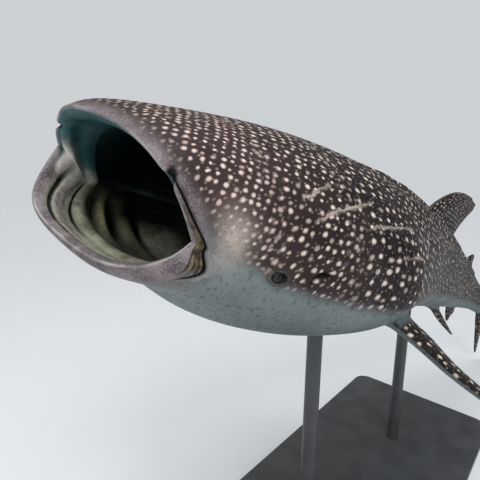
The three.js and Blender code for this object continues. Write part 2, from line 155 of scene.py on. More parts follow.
# the points round a row draw together at the crown, the sides and the corners of the mouth
angles = np.arange(AROUND) * 2 * math.pi / AROUND
angles = angles - 0.14 * (np.sin(2 * angles) + 0.5 * np.sin(4 * angles))
T, A = np.meshgrid(t_rows, angles, indexing="ij")
plain = plain_skin(T, A)
round_step = np.roll(plain, -1, 1) - np.roll(plain, 1, 1)
outwards = np.cross(round_step, np.gradient(plain, axis=0))
outwards /= np.maximum(np.linalg.norm(outwards, axis=-1, keepdims=True), 1e-9)
X, Y, Z = plain[..., 0], plain[..., 1], plain[..., 2]
# degrees from the crown down either side, and degrees round from the right side over the back to the left
side = np.degrees(np.arctan2(np.abs(Y), Z - curve_at(SHAPES, T)[..., 3]))
turned = np.degrees(A)
left = np.where(np.cos(A) < 0, turned, (540 - turned) % 360)
height = np.zeros_like(T)

# the keels: degrees from the crown, where each starts and ends, how tall it is
KEELS = [
    (0, 20, 43, 0.22), (22.5, 17, 60, 0.28), (45, 18, 66, 0.32), (67.5, 22, 84, 0.42), (90, 62, 84, 0.75)]
KEEL_WIDTH = 2.6
for angle, start, end, tall in KEELS:
    along = smooth(X, start, start + 8) * (1 - smooth(X, end - 5, end + 1))
    height += tall * along * hump(side, angle, KEEL_WIDTH) * (T > RING["brow"])

# five gill slits on each side: each flap swells towards its back edge and drops into a slit, which the skin's
# colour darkens as painted shade
GILLS = (14.6, 16.1, 17.5, 18.8, 20.0)
GILL = dict(top=2.4, tall=6.0, shorter=0.25, curve=0.35, swell=0.13, deep=0.22, edge=-0.08)
slits = np.zeros_like(T)
for i, station in enumerate(GILLS):
    down = (GILL["top"] - GILL["shorter"] * i - Z) / (GILL["tall"] - 2 * GILL["shorter"] * i)
    ends = smooth(down, -0.04, 0.12) * (1 - smooth(down, 0.88, 1.04)) * (T > RING["brow"])
    behind = X - station - GILL["curve"] * np.sin(math.pi * np.clip(down, 0, 1))
    rising = smooth(behind, -0.95, GILL["edge"])
    swell = np.where(behind > GILL["edge"], 1 - smooth(behind, GILL["edge"], 0.06), rising)
    height += ends * (GILL["swell"] * swell - GILL["deep"] * hump(behind, 0.13, 0.11))
    slits = np.maximum(slits, ends * hump(behind, 0.11, 0.09))

# the eye's socket and its lids, which leave a low oval free; the throat behind it counts as far away
EYE_OVAL = (0.40, 0.24)
throat_far = 50 * (T < RING["snout"])
from_eye = np.hypot((X - EYE_AT[0]) / EYE_OVAL[0], (Z - EYE_AT[2]) / EYE_OVAL[1]) + throat_far
height += 0.17 * smooth(from_eye, 0.7, 1.0) * (1 - smooth(from_eye, 1.3, 2.8))
height -= 0.30 * (1 - smooth(from_eye, 0.6, 0.95))

# the spiracle, an arched slit behind the eye
SPIRACLE = np.array([[8.45, -1.65], [8.5, -1.35], [8.75, -1.1], [9.1, -0.98], [9.5, -0.98]])


def from_line(x, z, line):
    """How far places lie from a line of points."""
    least = np.full(x.shape, 1e9)
    for start, end in zip(line, line[1:]):
        way = end - start
        share = np.clip(((x - start[0]) * way[0] + (z - start[1]) * way[1]) / (way @ way), 0, 1)
        least = np.minimum(least, np.hypot(x - start[0] - share * way[0], z - start[1] - share * way[1]))
    return least


from_spiracle = from_line(X, Z, SPIRACLE) + throat_far
height += 0.08 * hump(from_spiracle, 0.3, 0.14) - 0.30 * hump(from_spiracle, 0, 0.12)

# the nostrils, a slit at each front corner of the upper lip
NOSTRIL = dict(ring=7.2, corners=(36, 150), wide=0.24, tall=0.5, deep=0.3)
from_nostril = np.full_like(T, 9.0)
for angle in NOSTRIL["corners"]:
    away = plain - plain_skin(np.array(NOSTRIL["ring"]), np.array(math.radians(angle)))
    flat_away = np.hypot(away[..., 0], away[..., 1]) / NOSTRIL["wide"]
    from_nostril = np.minimum(from_nostril, np.hypot(flat_away, away[..., 2] / NOSTRIL["tall"]))
height -= NOSTRIL["deep"] * np.exp(-from_nostril ** 2)

# the fold of the upper lip, a strip that widens from the nostril to the mouth's corner; a furrow bounds it
FURROW = np.array([[146, 7.2], [152, 7.30], [166, 7.42], [174, 7.6], [179, 7.9], [184, 8.28], [189, 8.50],
                   [194, 8.54], [200, 8.42], [208, 8.22]])
FOLD_RING = 7.05
edge_at = np.mean([np.interp(left + k, FURROW[:, 0], FURROW[:, 1]) for k in range(-5, 6)], 0)
strip = (T - FOLD_RING) / (edge_at - FOLD_RING)
on_strip = smooth(left, 147, 156) * (1 - smooth(left, 199, 206))
apart = (T - edge_at) * (0.9 + 0.8 * smooth(edge_at, 7.5, 8.3))
height += on_strip * (0.10 * hump(strip, 0.62, 0.3) + 0.10 * hump(apart, 0.24, 0.14))
height -= on_strip * 0.26 * hump(apart, 0, 0.085)
fold_from = np.interp(left, [150, 172, 186, 200], [0.12, 0.30, 0.62, 0.80])
across = (strip - fold_from) / (1 - fold_from)
for crease in (0.05, 0.5):
    height -= 0.07 * on_strip * smooth(left, 160, 172) * hump(across, crease, 0.1)
# the upper lip swells along its middle; the share of the lower jaw runs from 0 above to 1 below
low = smooth(-np.sin(A), -0.10, 0.22)
height += (1 - low) * 0.10 * hump(T, FOLD_RING, 0.22)

# inside the mouth: a groove behind the lip, two folds of the cheek, the edges of the first filter pads and a
# faint ridge across the roof, each with its share, ring, width and height
inner = T < RING["inner_lip"] + 0.6
flank_low = low * (1 - 0.75 * hump(turned, 270, 17))
padded = low * np.maximum(hump(turned, 322, 22), hump(turned, 218, 22))
MOUTH_FOLDS = [
    (low, 6.02, 0.15, -0.26), (flank_low, 5.25, 0.42, 0.14), (flank_low, 4.6, 0.08, -0.18),
    (flank_low, 4.05, 0.34, 0.22), (padded, 3.22, 0.12, -0.6), (padded, 2.92, 0.13, 0.30),
    (padded, 2.62, 0.11, -0.5), (padded, 2.3, 0.16, 0.22), (padded, 2.0, 0.1, -0.3),
    (1 - low, 3.9, 0.12, 0.05)]
for share, ring, wide, tall in MOUTH_FOLDS:
    height += inner * share * tall * hump(T, ring, wide)
# a thin fold runs inwards from each corner of the mouth
corner = np.minimum(np.abs(turned - 180), np.minimum(turned, 360 - turned))
height += inner * 0.07 * hump(corner, 0, 5.0) * smooth(T, 3.2, 4.2) * (1 - smooth(T, 5.2, 6.4))

# the marks that the points of the skin carry: the belly, the bare face, the mouth's lining and the spots
BELLY_LINE = np.array([[0.5, 1.6], [1.4, 0.5], [2.6, -0.3], [4.4, -1.1], [6.4, -1.85], [9.0, -2.15],
                       [12.4, -2.35], [17.3, -2.4], [24, -2.2], [38, -2.0], [54, -1.9], [70, -1.1], [84, -0.4]])
BARE_FACE = np.array([[0, 7.9], [60, 7.7], [80, 8.4], [110, 8.8], [180, 9.1]])
border = np.interp(X, BELLY_LINE[:, 0], BELLY_LINE[:, 1])
pale = 1 - smooth(Z, border - 0.55, border + 0.45)
bare_to = np.interp(side, BARE_FACE[:, 0], BARE_FACE[:, 1])
face = 1 - smooth(T, bare_to - 0.75, bare_to + 0.4)
lip_edge = RING["lip"] - 0.12 - 0.6 * low
inside = 1 - smooth(T, lip_edge - 0.12, lip_edge + 0.12)
spotted = smooth(T, bare_to - 0.75, bare_to + 1.1) * (1 - pale)
# the cream patch beside the mouth, the lit bits of the lining, and the painted shade that darkens its depth
cream = hump(X, 3.45, 0.95) * hump(Z, -0.45, 1.1) * smooth(T, 8.2, 8.7)
lit_folds = hump(corner, 4, 15) * smooth(T, 4.9, 5.7) + 0.8 * hump(corner, 0, 4.5) * smooth(T, 3.2, 4.2)
bright = inner * np.clip(lit_folds, 0, 1)
# the far part of the floor is kept out of the painted shade of the depth
far_wall = smooth(turned, 306, 336) * (1 - smooth(T, 2.2, 3.2))
depth_shade = low * smooth(T, 0.8, 1.9) * (1 - far_wall) + (1 - low) * smooth(T, 2.2, 5.4)

# a flat chart of the hide: how far back from the nape, and how far round from the crown, in hundredths
NAPE_STATION = 13
steps = np.linalg.norm(np.diff(plain, axis=0), axis=-1)
back = np.concatenate([np.zeros((1, AROUND)), np.cumsum(steps, 0)])
back += NAPE_STATION - back[int(np.argmin(np.abs(t_rows - RING["nape"])))]
ring_steps = np.linalg.norm(np.roll(plain, -1, 1) - plain, axis=-1)
crown = AROUND // 4
around = np.zeros_like(T)
for k in range(1, AROUND // 2 + 1):
    j, before = (crown + k) % AROUND, (crown + k - 1) % AROUND
    around[:, j] = around[:, before] - ring_steps[:, before]
for k in range(1, AROUND // 2):
    j, before = (crown - k) % AROUND, (crown - k + 1) % AROUND
    around[:, j] = around[:, before] + ring_steps[:, j]

# where the pale bars run, as station and height on the side of the head, and the same on the chart
BAR_LINES = [
    [(7.3, 2.2), (8.3, 2.8), (9.6, 3.4)],
    [(8.0, 1.3), (9.6, 2.1), (11.3, 2.8), (13.6, 3.4)],
    [(12.7, 2.1), (14.9, 2.3), (18.6, 2.9)],
    [(16.0, 0.9), (20.0, 1.2)],
    [(20.5, 3.6), (22.5, 1.2), (24.6, 3.0)],
]


def on_chart(x, z):
    """The place on the chart of a station and height on the left side."""
    miss = np.hypot(X - x, Z - z) + 99 * (T < RING["outer_lip"]) + 99 * (Y > 0)
    i, j = np.unravel_index(np.argmin(miss), miss.shape)
    return float(back[i, j]), float(abs(around[i, j])), 0.0


BARS = [[on_chart(x, z) for x, z in line] for line in BAR_LINES]


def closed_loft(name, grid):
    """A closed mesh over a grid of points, rows of loops, with a fan over each end."""
    rows, count = grid.shape[:2]
    verts = np.concatenate([grid.reshape(-1, 3), [grid[0].mean(0), grid[-1].mean(0)]])
    here = (np.arange(rows - 1)[:, None] * count + np.arange(count)[None, :])
    beside = (np.arange(rows - 1)[:, None] * count + (np.arange(count)[None, :] + 1) % count)
    quads = np.stack([here, beside, beside + count, here + count], -1).reshape(-1, 4).tolist()
    ends = rows * count
    fans = [[ends, (j + 1) % count, j] for j in range(count)]
    fans += [[ends + 1, ends - count + j, ends - count + (j + 1) % count] for j in range(count)]
    mesh = bpy.data.meshes.new(name)
    mesh.from_pydata(verts.tolist(), [], quads + fans)
    made = bpy.data.objects.new(name, mesh)
    bpy.context.scene.collection.objects.link(made)
    return made


drawn_points = []
drawn_marks = {name: [] for name in ("chart", "fold", "holes", "hide_marks", "mouth_marks", "throat_marks")}


def remember(grid, marks):
    """Keep a piece's drawn points and the marks that they carry."""
    drawn_points.append(posed(grid).reshape(-1, 3))
    for name, parts in marks.items():
        full = np.stack([part + 0 * grid[..., 0] for part in parts], -1)
        drawn_marks[name].append(full.reshape(-1, len(parts)))


hide_points = plain + outwards * height[..., None]
skin = closed_loft("shark_skin", posed(hide_points))
FAR = 4
holes = [np.clip(part, 0, FAR) for part in (from_eye, from_spiracle, from_nostril)]
remember(hide_points, {
    "chart": (back, around, T), "fold": (np.clip(across, -4, 4), left, apart), "holes": holes,
    "hide_marks": (pale, face, inside, spotted), "mouth_marks": (slits, cream, bright, depth_shade),
    "throat_marks": (padded, flank_low, low)})

# Fins
# The fins are flat blades of cartilage under the same hide, thick at the root and thin at the trailing edge,
# and they grow out of the body without a seam. Each row gives the leading edge, the trailing edge and the
# thickness, from the root to the tip.
PECTORAL = [
    ((21.0, -7.6, -3.6), (28.0, -7.0, -3.9), 1.3), ((22.4, -10.8, -4.7), (28.4, -10.4, -5.0), 1.15),
    ((24.2, -13.6, -6.0), (28.9, -12.6, -6.2), 0.95), ((26.8, -16.4, -7.2), (30.0, -15.2, -7.3), 0.75),
    ((30.0, -18.9, -8.3), (32.2, -17.9, -8.4), 0.55), ((33.4, -20.8, -9.2), (34.7, -20.2, -9.2), 0.4),
    ((36.6, -22.0, -9.9), (36.9, -21.8, -9.9), 0.2)]
PELVIC = [
    ((50.4, -2.4, -3.6), (55.4, -2.2, -3.6), 0.6), ((52.0, -4.3, -5.5), (56.2, -3.9, -5.4), 0.5),
    ((54.0, -5.4, -6.5), (56.5, -5.1, -6.5), 0.35), ((55.7, -6.0, -7.1), (56.5, -5.9, -7.1), 0.2)]
FIRST_DORSAL = [
    ((42.5, 0, 5.1), (54.0, 0, 4.4), 1.5), ((45.0, 0, 7.6), (57.0, 0, 6.4), 1.25),
    ((47.6, 0, 9.8), (58.0, 0, 8.5), 0.95), ((50.8, 0, 11.6), (59.2, 0, 10.4), 0.7),
    ((54.2, 0, 12.7), (60.4, 0, 11.9), 0.45), ((57.6, 0, 13.2), (60.6, 0, 12.9), 0.25)]
SECOND_DORSAL = [
    ((64.2, 0, 3.2), (69.3, 0, 2.6), 0.7), ((65.8, 0, 4.9), (70.4, 0, 4.2), 0.55),
    ((67.4, 0, 6.2), (69.6, 0, 5.6), 0.35), ((68.9, 0, 6.9), (69.7, 0, 6.7), 0.2)]
ANAL = [
    ((66.0, 0, -2.2), (70.4, 0, -1.9), 0.6), ((67.4, 0, -4.2), (71.3, 0, -3.5), 0.5),
    ((68.8, 0, -5.4), (70.5, 0, -4.9), 0.35), ((69.9, 0, -6.1), (70.6, 0, -5.9), 0.2)]
CAUDAL = [
    ((90.0, 0, -9.6), (90.5, 0, -9.7), 0.2), ((87.6, 0, -7.4), (89.6, 0, -8.0), 0.5),
    ((84.6, 0, -4.4), (88.2, 0, -5.2), 0.75), ((82.2, 0, -2.2), (87.6, 0, -2.6), 0.95),
    ((81.4, 0, 0.3), (88.0, 0, 0.2), 1.05), ((82.2, 0, 2.4), (89.2, 0, 2.8), 0.95),
    ((84.8, 0, 5.2), (90.9, 0, 5.6), 0.8), ((88.4, 0, 9.0), (93.1, 0, 9.0), 0.65),
    ((92.2, 0, 12.8), (95.7, 0, 12.6), 0.5), ((95.4, 0, 15.8), (97.9, 0, 15.6), 0.35),
    ((97.6, 0, 17.4), (98.2, 0, 17.2), 0.2)]
# half a section of a blade: share of the chord from the leading edge, share of half the thickness
PROFILE = np.array([[0, 0], [0.02, 0.34], [0.05, 0.52], [0.12, 0.76], [0.2, 0.92], [0.31, 1.0], [0.42, 0.98],
                    [0.56, 0.82], [0.7, 0.6], [0.85, 0.34], [0.95, 0.17], [1, 0.08]])
FIN_STEPS = 5
# where the blades lie on the chart of the hide, clear of the body's own places
FIN_CHART = dict(back=60, around=40, side=12)
FIN_SPOTS = 0.9


def fin(name, rows, facing, mirror=False, flare=0.0):
    """A blade through its rows, its faces along the given direction, with a flared root."""
    at = np.linspace(0, len(rows) - 1, (len(rows) - 1) * FIN_STEPS + 1)
    lead, trail, thick = (curve_at(np.array([row[k] for row in rows], dtype=float), at) for k in range(3))
    thick = np.maximum(thick, 0.1) * (1 + flare * np.exp(-at / 0.55))
    half = np.concatenate([PROFILE, PROFILE[-2:0:-1]])
    side_of = np.concatenate([np.ones(len(PROFILE)), -np.ones(len(PROFILE) - 2)])
    away = half[None, :, 1:] * side_of[None, :, None] * thick[:, None, None] / 2
    grid = lead[:, None] + (trail - lead)[:, None] * half[None, :, :1] + np.array(facing)[None, None] * away
    if mirror:
        grid = grid[:, ::-1] * np.array([1, -1, 1])
    length = np.concatenate([[0], np.cumsum(np.linalg.norm(np.diff(lead, axis=0), axis=1))])
    chord = np.linalg.norm(trail - lead, axis=1)
    chart_back = FIN_CHART["back"] + length[:, None]
    chart_around = FIN_CHART["around"] + chord[:, None] * half[None, :, 0]
    chart_around = chart_around + FIN_CHART["side"] * side_of[None, :]
    # a paired fin is pale below
    paired = abs(facing[1]) < 0.9
    under = paired * ((side_of < 0)[None, :] != mirror).astype(float)
    remember(grid, {
        "chart": (chart_back, chart_around, 0), "fold": (0, 0, 0), "holes": (FAR, FAR, FAR),
        "hide_marks": (under, 0, 0, (1 - under) * FIN_SPOTS), "mouth_marks": (0, 0, 0, 0),
        "throat_marks": (0, 0, 0)})
    return closed_loft(name, posed(grid))


def paired_face(rows):
    """The direction square to the blade of a paired fin."""
    span = np.array(rows[-1][0]) - np.array(rows[0][0])
    chord = np.array(rows[0][1]) - np.array(rows[0][0])
    square = np.cross(span, chord)
    return square / np.linalg.norm(square)


UPRIGHT = (0, 1, 0)
ROOT_FLARE = 0.3
fins = [
    fin("pectoral_left", PECTORAL, paired_face(PECTORAL), flare=ROOT_FLARE),
    fin("pectoral_right", PECTORAL, paired_face(PECTORAL), mirror=True, flare=ROOT_FLARE),
    fin("pelvic_left", PELVIC, paired_face(PELVIC)),
    fin("pelvic_right", PELVIC, paired_face(PELVIC), mirror=True),
    fin("first_dorsal", FIRST_DORSAL, UPRIGHT, flare=ROOT_FLARE),
    fin("second_dorsal", SECOND_DORSAL, UPRIGHT),
    fin("anal", ANAL, UPRIGHT),
    fin("caudal", CAUDAL, UPRIGHT),
]


def chosen_alone(made):
    """Select one object and nothing else."""
    bpy.ops.object.select_all(action="DESELECT")
    made.select_set(True)
    bpy.context.view_layer.objects.active = made


for blade in fins:
    chosen_alone(blade)
    bpy.ops.object.mode_set(mode="EDIT")
    bpy.ops.mesh.select_all(action="SELECT")
    bpy.ops.mesh.normals_make_consistent(inside=False)
    bpy.ops.object.mode_set(mode="OBJECT")
chosen_alone(skin)
for blade in fins:
    join = skin.modifiers.new("join", "BOOLEAN")
    join.operation = "UNION"
    join.solver = "MANIFOLD"
    join.object = blade
    bpy.ops.object.modifier_apply(modifier=join.name)
    bpy.data.objects.remove(blade)

# Each point of the joined hide takes the marks of the nearest drawn point. A point that none was drawn for
# lies where two pieces met, at the root of a fin, and the hide round it is rounded off.
ROOT_REACH = 0.055
ROOT_PLAIN = 0.05
ROUNDINGS = 25
ROUNDING_SHARE = 0.6


def place_finder(points):
    """A search tree over points."""
    finder = KDTree(len(points))
    for i, point in enumerate(points):
        finder.insert(point, i)
    finder.balance()
    return finder


count = len(skin.data.vertices)
places = np.empty(count * 3)
skin.data.vertices.foreach_get("co", places)
places = places.reshape(-1, 3)
drawn = place_finder(np.concatenate(drawn_points))
nearest = [drawn.find(place) for place in places]
fresh = np.array([hit[2] > 1e-5 for hit in nearest])
roots = place_finder(places[fresh])
from_root = np.array([roots.find(place)[2] for place in places])
soften = 1 - smooth(from_root, 0.3 * ROOT_REACH, ROOT_REACH)
edges = np.empty(len(skin.data.edges) * 2, dtype=int)
skin.data.edges.foreach_get("vertices", edges)
edges = edges.reshape(-1, 2)
neighbours = np.maximum(np.bincount(edges.ravel(), minlength=count), 1)
for _ in range(ROUNDINGS):
    total = np.zeros_like(places)
    for axis in range(3):
        total[:, axis] = (np.bincount(edges[:, 0], places[edges[:, 1], axis], count)
                          + np.bincount(edges[:, 1], places[edges[:, 0], axis], count))
    places += (total / neighbours[:, None] - places) * (soften * ROUNDING_SHARE)[:, None]
skin.data.vertices.foreach_set("co", places.ravel())
skin.data.update()
for name, pieces in drawn_marks.items():
    marks = np.concatenate(pieces)[[hit[1] for hit in nearest]]
    if name == "hide_marks":
        marks[:, 3] *= smooth(from_root, 0.0, ROOT_PLAIN)
    kind, value = ("FLOAT_COLOR", "color") if marks.shape[1] == 4 else ("FLOAT_VECTOR", "vector")
    layer = skin.data.attributes.new(name, kind, "POINT")
    layer.data.foreach_set(value, np.ascontiguousarray(marks, dtype=np.float32).ravel())
for polygon in skin.data.polygons:
    polygon.use_smooth = True
    polygon.material_index = 0
skin.data.materials.clear()


def group(name, ins, outs):
    """An empty shader node group with its sockets."""
    made = bpy.data.node_groups.new(name, "ShaderNodeTree")
    for label, kind, value in ins:
        socket = made.interface.new_socket(name=label, in_out="INPUT", socket_type=kind)
        if value is not None:
            socket.default_value = value
    for label, kind in outs:
        made.interface.new_socket(name=label, in_out="OUTPUT", socket_type=kind)
    return made, made.nodes.new("NodeGroupInput"), made.nodes.new("NodeGroupOutput")


class Nodes:
    """Short ways to add shader nodes to a tree."""

    def __init__(self, tree):
        self.tree = tree

    def add(self, kind, inputs=(), **settings):
        """A node with its settings, its inputs linked or given a value."""
        node = self.tree.nodes.new(kind)
        for key, value in settings.items():
            setattr(node, key, value)
        for key, value in dict(inputs).items():
            if isinstance(value, bpy.types.NodeSocket):
                self.tree.links.new(value, node.inputs[key])
            else:
                node.inputs[key].default_value = value
        return node

    def marks(self, name, fourth=False):
        """The parts of a mark that the points of the piece carry."""
        read = self.add("ShaderNodeAttribute", attribute_name=name)
        if fourth:
            parts = self.add("ShaderNodeSeparateColor", {0: read.outputs["Color"]}).outputs
            return parts[0], parts[1], parts[2], read.outputs["Alpha"]
        return tuple(self.add("ShaderNodeSeparateXYZ", {0: read.outputs["Vector"]}).outputs)

    def math(self, operation, first, second=None, third=None, clamp=False):
        """One sum on numbers."""
        inputs = {i: value for i, value in enumerate((first, second, third)) if value is not None}
        return self.add("ShaderNodeMath", inputs, operation=operation, use_clamp=clamp).outputs[0]

    def vector(self, operation, first, second, output=0):
        """One sum on vectors; scaling takes its factor from a socket of its own."""
        key = "Scale" if operation == "SCALE" else 1
        return self.add("ShaderNodeVectorMath", {0: first, key: second}, operation=operation).outputs[output]

    def step(self, value, low, high, to_low=0.0, to_high=1.0):
        """A soft step between two values."""
        inputs = {"Value": value, "From Min": low, "From Max": high, "To Min": to_low, "To Max": to_high}
        return self.add("ShaderNodeMapRange", inputs, interpolation_type="SMOOTHSTEP").outputs[0]

    def line(self, value, centre, width):
        """A soft line where the value is close to its centre."""
        away = self.math("ABSOLUTE", self.math("SUBTRACT", value, centre))
        return self.step(away, width, width * 0.35)

    def times(self, *values):
        """All the values multiplied."""
        out = values[0]
        for value in values[1:]:
            out = self.math("MULTIPLY", out, value)
        return out

    def most(self, *values):
        """The largest of the values."""
        out = values[0]
        for value in values[1:]:
            out = self.math("MAXIMUM", out, value)
        return out

    def mix(self, factor, first, second):
        """A mix of two colours."""
        return self.add("ShaderNodeMix", {0: factor, 6: first, 7: second}, data_type="RGBA").outputs[2]

    def shades(self, value, low, high, first, second):
        """The first colour where the value is low, the second where it is high."""
        return self.mix(self.step(value, low, high), first, second)

    def noise(self, vector, scale, detail=2.0, rough=0.5):
        """Soft noise."""
        inputs = {"Vector": vector, "Scale": scale, "Detail": detail, "Roughness": rough}
        return self.add("ShaderNodeTexNoise", inputs).outputs[0]

    def wander(self, vector, scale, detail, reach):
        """A vector moved about by soft noise."""
        noise = self.add("ShaderNodeTexNoise", {"Vector": vector, "Scale": scale, "Detail": detail})
        drift = self.vector("SUBTRACT", noise.outputs["Color"], (0.5, 0.5, 0.5))
        drift = self.vector("SCALE", drift, reach)
        return self.vector("ADD", vector, drift)


# round pale spots on a chart of the hide, each a little out of round and of its own size
spot_group, spot_in, spot_out = group(
    "pale_spots",
    [("Chart", "NodeSocketVector", None), ("Scale", "NodeSocketFloat", 1.0),
     ("Radius", "NodeSocketFloat", 0.3), ("Scatter", "NodeSocketFloat", 0.6)],
    [("Mask", "NodeSocketFloat")])
spot = Nodes(spot_group)
cells = spot.add("ShaderNodeTexVoronoi", {"Vector": spot.wander(spot_in.outputs["Chart"], 2.2, 1.0, 0.16),
                                          "Scale": spot_in.outputs["Scale"],
                                          "Randomness": spot_in.outputs["Scatter"]}, voronoi_dimensions="2D")
luck = spot.add("ShaderNodeSeparateColor", {0: cells.outputs["Color"]}).outputs
spot_reach = spot.times(spot_in.outputs["Radius"], spot.step(luck[0], 0.0, 1.0, 0.78, 1.12))
spot_mask = spot.step(cells.outputs["Distance"], spot_reach, spot.times(spot_reach, 0.22))
spot_mask = spot.times(spot_mask, spot.step(luck[1], 0.0, 0.5, 0.45, 1.0))
spot_group.links.new(spot_mask, spot_out.inputs["Mask"])

# one stretch of a thin pale bar on the chart of the hide
bar_group, bar_in, bar_out = group(
    "pale_bar",
    [("Chart", "NodeSocketVector", None), ("From", "NodeSocketVector", None),
     ("To", "NodeSocketVector", None)],
    [("Mask", "NodeSocketFloat")])
bar = Nodes(bar_group)
flat_chart = bar.vector("MULTIPLY", bar.wander(bar_in.outputs["Chart"], 3.0, 2.0, 0.5), (1, 1, 0))
whole_bar = bar.vector("SUBTRACT", bar_in.outputs["To"], bar_in.outputs["From"])
out_to = bar.vector("SUBTRACT", flat_chart, bar_in.outputs["From"])
bar_share = bar.math("DIVIDE", bar.vector("DOT_PRODUCT", out_to, whole_bar, "Value"),
                     bar.vector("DOT_PRODUCT", whole_bar, whole_bar, "Value"), clamp=True)
from_bar = bar.vector("DISTANCE", out_to, bar.vector("SCALE", whole_bar, bar_share), "Value")
bar_group.links.new(bar.step(from_bar, 0.18, 0.0), bar_out.inputs["Mask"])

hide_matter = bpy.data.materials.new("whale_shark_skin")
hide_matter.use_nodes = True
hide = Nodes(hide_matter.node_tree)
shader = hide_matter.node_tree.nodes["Principled BSDF"]
chart_at = hide.add("ShaderNodeAttribute", attribute_name="chart").outputs["Vector"]
back_at, _, row_at = hide.add("ShaderNodeSeparateXYZ", {0: chart_at}).outputs
pale_at, face_at, inside_at, spotted_at = hide.marks("hide_marks", fourth=True)
slits_at, cream_at, bright_at, depth_shade_at = hide.marks("mouth_marks", fourth=True)
padded_at, flank_at, low_at = hide.marks("throat_marks")
eye_near, spiracle_near, nostril_near = hide.marks("holes")
across_at, left_at, apart_at = hide.marks("fold")
where = hide.add("ShaderNodeTexCoord").outputs["Object"]
cloud = hide.noise(where, 3.0, 4.0, 0.6)
blotch = hide.noise(where, 14.0, 4.0, 0.65)
grain = hide.noise(where, 60.0, 3.0, 0.65)
fine = hide.noise(where, 230.0, 2.0, 0.6)
ring_at = hide.math("ADD", row_at, hide.math("MULTIPLY_ADD", blotch, 0.22, -0.11))

# the golden fold at the corner of the mouth, its creases and the furrow behind it, both darkened later as
# painted shade
across_at = hide.math("ADD", across_at, hide.math("MULTIPLY_ADD", blotch, 0.3, -0.15))
fold_strip = hide.times(hide.step(left_at, 147, 156), hide.step(left_at, 209, 201))
before_furrow = hide.step(apart_at, 0.05, -0.02)
furrow = hide.times(fold_strip, hide.line(apart_at, 0, 0.12))
golden = hide.times(fold_strip, hide.step(left_at, 158, 180), hide.step(left_at, 200, 190),
                    hide.step(across_at, -0.12, 0.1), before_furrow)
creases = hide.most(hide.line(across_at, 0.0, 0.1), hide.line(across_at, 0.36, 0.07),
                    hide.line(across_at, 0.66, 0.06))
creases = hide.times(creases, fold_strip, hide.step(left_at, 158, 172), hide.step(left_at, 202, 192),
                     before_furrow)

# the spots grow and draw apart from the snout back to the flank
head_chart = hide.add("ShaderNodeMapping", {"Vector": chart_at, "Scale": (0.74, 1.0, 1.0),
                                            "Rotation": (0, 0, 0.45)}).outputs[0]
flank_chart = hide.add("ShaderNodeMapping", {"Vector": chart_at, "Scale": (0.72, 1.0, 1.0),
                                             "Rotation": (0, 0, 0.2)}).outputs[0]


def spots_on(chart, scale, radius, scatter):
    """Pale spots of one size over a chart."""
    return hide.add("ShaderNodeGroup", {"Chart": chart, "Scale": scale, "Radius": radius, "Scatter": scatter},
                    node_tree=spot_group).outputs["Mask"]


small = spots_on(head_chart, 2.7, hide.step(spotted_at, 0.0, 0.8, 0.24, 0.36), 0.34)
middle = spots_on(head_chart, 1.95, 0.32, 0.42)
large = spots_on(flank_chart, 1.32, 0.285, 0.52)
faint = spots_on(flank_chart, 2.6, 0.20, 0.9)
spots = hide.mix(hide.step(back_at, 4.2, 6.2), small, middle)
spots = hide.mix(hide.step(back_at, 9.5, 12.5), spots, large)
spots = hide.most(hide.times(faint, 0.3), spots)
one_side = hide.add("ShaderNodeVectorMath", {0: chart_at}, operation="ABSOLUTE").outputs[0]
stretches = [hide.add("ShaderNodeGroup", {"Chart": one_side, "From": start, "To": end}, node_tree=bar_group)
             for line in BARS for start, end in zip(line, line[1:])]
bars = hide.most(*[stretch.outputs["Mask"] for stretch in stretches])
spots = hide.times(spots, hide.math("SUBTRACT", 1.0, bars))
spots = hide.most(spots, hide.times(bars, hide.step(blotch, 0.3, 0.65, 0.15, 0.6)))

# the back: near black on the flank and browner on the snout, with cream spots that redden towards the snout
from_snout = hide.step(back_at, 2.0, 15.0)
flank_brown = hide.shades(cloud, 0.35, 0.7, (0.008, 0.0062, 0.0072, 1), (0.020, 0.0135, 0.014, 1))
snout_brown = hide.shades(cloud, 0.3, 0.7, (0.020, 0.0115, 0.0115, 1), (0.040, 0.024, 0.024, 1))
brown = hide.mix(from_snout, snout_brown, flank_brown)
brown = hide.shades(blotch, 0.35, 0.8, brown, hide.mix(0.25, brown, (0.065, 0.045, 0.045, 1)))
spot_cream = hide.shades(grain, 0.3, 0.7, (0.80, 0.71, 0.63, 1), (0.55, 0.46, 0.40, 1))
spot_cream = hide.mix(from_snout, hide.mix(0.6, spot_cream, (0.62, 0.46, 0.41, 1)), spot_cream)
back_colour = hide.mix(hide.times(spots, spotted_at), brown, spot_cream)

# the lips and the bare face: lilac grey, blotched and freckled, with dark smudges that are heavier on the lower
# jaw as painted shade, and a painted highlight along the lip edge
lilac = hide.shades(blotch, 0.3, 0.7, (0.085, 0.068, 0.078, 1), (0.215, 0.18, 0.19, 1))
# dark smudges of mottling, weighted heavier on the lower jaw as painted shade
smudges = hide.step(hide.noise(where, 8.0, 4.0, 0.65), 0.45, 0.62)
lilac = hide.mix(hide.times(smudges, hide.step(low_at, 0.0, 1.0, 0.35, 0.8)), lilac, (0.06, 0.05, 0.052, 1))
lilac = hide.mix(hide.times(hide.step(fine, 0.50, 0.64), 0.42), lilac, (0.40, 0.37, 0.365, 1))
beside_mouth = hide.times(hide.step(row_at, 7.9, 8.5), hide.step(left_at, 160, 172), 0.8)
peppered = hide.shades(fine, 0.42, 0.60, (0.27, 0.245, 0.225, 1), (0.075, 0.066, 0.062, 1))
lilac = hide.mix(beside_mouth, lilac, peppered)
# a painted highlight: a pale, broken line along the edge of the lips
lip_edge_highlight = hide.step(hide.noise(where, 9.0, 2.0), 0.4, 0.6, 0.15, 0.55)
lilac = hide.mix(hide.times(hide.line(ring_at, 6.95, 0.22), lip_edge_highlight), lilac, (0.50, 0.47, 0.46, 1))

